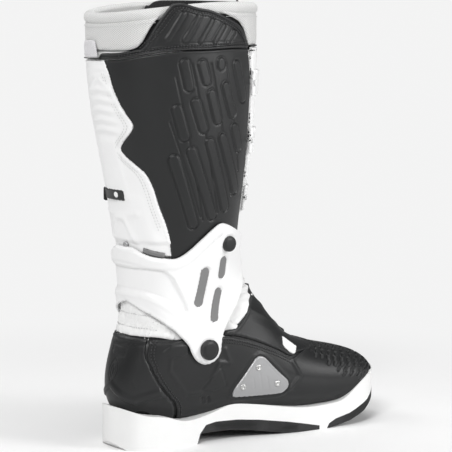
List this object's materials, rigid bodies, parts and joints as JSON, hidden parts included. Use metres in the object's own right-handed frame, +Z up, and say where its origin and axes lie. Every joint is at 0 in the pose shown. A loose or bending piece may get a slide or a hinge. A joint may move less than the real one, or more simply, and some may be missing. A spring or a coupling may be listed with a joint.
{
  "type": "motocross boot",
  "caption": "Tall left riding boot: leather boot in moulded shells, hinged ankle brace, opening shin plate, strap buckles and a padded collar.",
  "frame": {"origin": "centre of the heel's flat bottom, on the ground plane", "axes": "+X to the toe, +Y to the outer side of the foot, +Z up along the leg"},
  "size_m": [0.3234, 0.1492, 0.434],
  "materials": {
    "black_leather": "fine grain",
    "black_microfibre": "fine grain, perforated",
    "black_plastic": "matte",
    "black_rubber": "matte textured",
    "black_tread": "matte",
    "board": "fibre board",
    "grey_plastic": "fine texture",
    "liner_fabric": "brushed knit",
    "mesh_fabric": "open mesh weave",
    "steel": "brushed",
    "webbing": "woven",
    "white_leather": "satin grain",
    "white_plastic": "satin moulded",
    "white_sole": "satin moulded"
  },
  "bodies": {
    "foot": {"heel_tread": "black_tread", "arch_tread": "black_tread", "toe_tread": "black_tread", "midsole": "white_sole", "foot_upper": "white_leather", "ankle_gaiter": "white_leather", "instep_bellows": "black_leather", "foot_liner": "liner_fabric", "insole_board": "board", "shank": "steel", "footbed": "liner_fabric", "heel_cup": "black_rubber", "toe_cap": "black_microfibre", "medial_guard": "black_rubber", "lateral_guard": "black_rubber", "guard_plate": "grey_plastic", "plate_screws": "steel", "instep_patch": "white_leather", "catch_4": "black_plastic", "lower_pivot_bolts": "black_plastic", "lower_pivot_nuts": "steel"},
    "ankle_brace": {"ankle_brace": "white_plastic", "brace_inserts": "grey_plastic"},
    "shaft": {"shaft_liner": "liner_fabric", "shaft_upper": "white_leather", "collar": "mesh_fabric", "top_flap": "black_leather", "grip_panel": "black_rubber", "calf_plate": "white_plastic", "lateral_panel": "black_leather", "pull_tab": "webbing", "rear_tag": "black_rubber", "tongue": "liner_fabric", "catch_1": "black_plastic", "catch_2": "black_plastic", "catch_3": "black_plastic", "upper_pivot_bolts": "black_plastic", "upper_pivot_nuts": "steel"},
    "shin_closure": {"shin_plate": "white_plastic", "strap_roots": "black_plastic", "root_screws": "steel"},
    "strap_1": {"strap_1": "white_plastic", "buckle_frame_1": "black_plastic", "lever_pin_1": "steel"},
    "lever_1": {"lever_1": "black_plastic"},
    "strap_2": {"strap_2": "white_plastic", "buckle_frame_2": "black_plastic", "lever_pin_2": "steel"},
    "lever_2": {"lever_2": "black_plastic"},
    "strap_3": {"strap_3": "white_plastic", "buckle_frame_3": "black_plastic", "lever_pin_3": "steel"},
    "lever_3": {"lever_3": "black_plastic"},
    "strap_4": {"strap_4": "white_plastic", "buckle_frame_4": "black_plastic", "lever_pin_4": "steel"},
    "lever_4": {"lever_4": "black_plastic"}
  },
  "joints": [
    {"name": "ankle_hinge", "type": "hinge", "parent": "foot", "child": "ankle_brace", "pos_m": [0.043, 0, 0.095], "axis": [0, 1, 0], "range_deg": [-10, 20]},
    {"name": "cuff_hinge", "type": "hinge", "parent": "ankle_brace", "child": "shaft", "pos_m": [0.061, 0, 0.198], "axis": [0, 1, 0], "range_deg": [-4, 6]},
    {"name": "shin_closure_hinge", "type": "hinge", "parent": "shaft", "child": "shin_closure", "pos_m": [0.0905, -0.05352, 0.38], "axis": [0, 0.0971, -0.9953], "range_deg": [0, 35]},
    {"name": "strap_1_swing", "type": "hinge", "parent": "shin_closure", "child": "strap_1", "pos_m": [0.098, -0.05025, 0.352], "axis": [0, 0.0438, -0.999], "range_deg": [0, 40]},
    {"name": "lever_1_hinge", "type": "hinge", "parent": "strap_1", "child": "lever_1", "pos_m": [0.038, 0.07571, 0.352], "axis": [0, 0, -1], "range_deg": [0, 110]},
    {"name": "strap_2_swing", "type": "hinge", "parent": "shin_closure", "child": "strap_2", "pos_m": [0.098, -0.0456, 0.296], "axis": [0, 0.1031, -0.9947], "range_deg": [0, 40]},
    {"name": "lever_2_hinge", "type": "hinge", "parent": "strap_2", "child": "lever_2", "pos_m": [0.038, 0.07283, 0.296], "axis": [0, 0, -1], "range_deg": [0, 110]},
    {"name": "strap_3_swing", "type": "hinge", "parent": "shin_closure", "child": "strap_3", "pos_m": [0.098, -0.03489, 0.24], "axis": [0, 0.2344, -0.9721], "range_deg": [0, 40]},
    {"name": "lever_3_hinge", "type": "hinge", "parent": "strap_3", "child": "lever_3", "pos_m": [0.038, 0.06763, 0.24], "axis": [0, 0, -1], "range_deg": [0, 110]},
    {"name": "strap_4_swing", "type": "hinge", "parent": "foot", "child": "strap_4", "pos_m": [0.138, -0.04849, 0.089], "axis": [0.8401, -0.0914, -0.5346], "range_deg": [0, 35]},
    {"name": "lever_4_hinge", "type": "hinge", "parent": "strap_4", "child": "lever_4", "pos_m": [0.117, 0.05687, 0.07], "axis": [0.809, 0, -0.5878], "range_deg": [0, 110]}
  ]
}
